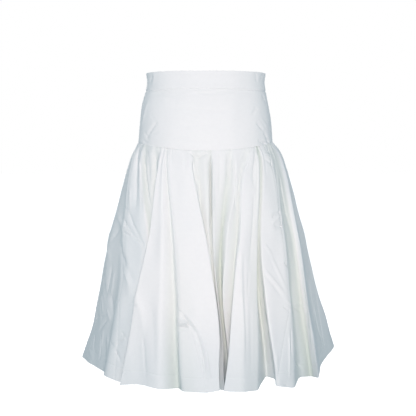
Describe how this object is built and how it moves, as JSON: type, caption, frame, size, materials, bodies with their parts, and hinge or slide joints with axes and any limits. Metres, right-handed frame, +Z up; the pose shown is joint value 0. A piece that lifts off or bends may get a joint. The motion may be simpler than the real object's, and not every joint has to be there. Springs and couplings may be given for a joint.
{
  "type": "godet skirt",
  "caption": "White midi skirt, filled out as worn, with a waistband, a deep fitted hip yoke and a full folded skirt with godets let in at the hem.",
  "frame": {"origin": "middle of the waist opening, level with the top edge of the waistband, where the wearer's waist holds the skirt", "axes": "+Z up along the body, -Y out of the skirt's front, +X to the right of someone who looks at the front"},
  "size_m": [0.6259, 0.5113, 0.7182],
  "materials": {
    "white_cotton": "crisp plain-weave cotton with a faint sheen"
  },
  "bodies": {
    "root": {"waistband_front": "white_cotton", "waistband_back_left": "white_cotton", "waistband_back_right": "white_cotton", "yoke_front": "white_cotton", "yoke_back_left": "white_cotton", "yoke_back_right": "white_cotton", "gore_01": "white_cotton", "gore_02": "white_cotton", "gore_03": "white_cotton", "gore_04": "white_cotton", "gore_05": "white_cotton", "gore_06": "white_cotton", "gore_07": "white_cotton", "gore_08": "white_cotton", "gore_09": "white_cotton", "gore_10": "white_cotton", "godet_back": "white_cotton", "godet_back_left": "white_cotton", "godet_left": "white_cotton", "godet_front_left_outer": "white_cotton", "godet_front_left": "white_cotton", "godet_front_centre": "white_cotton", "godet_front_right": "white_cotton", "godet_right": "white_cotton", "godet_back_right_outer": "white_cotton", "godet_back_right": "white_cotton"}
  },
  "joints": []
}
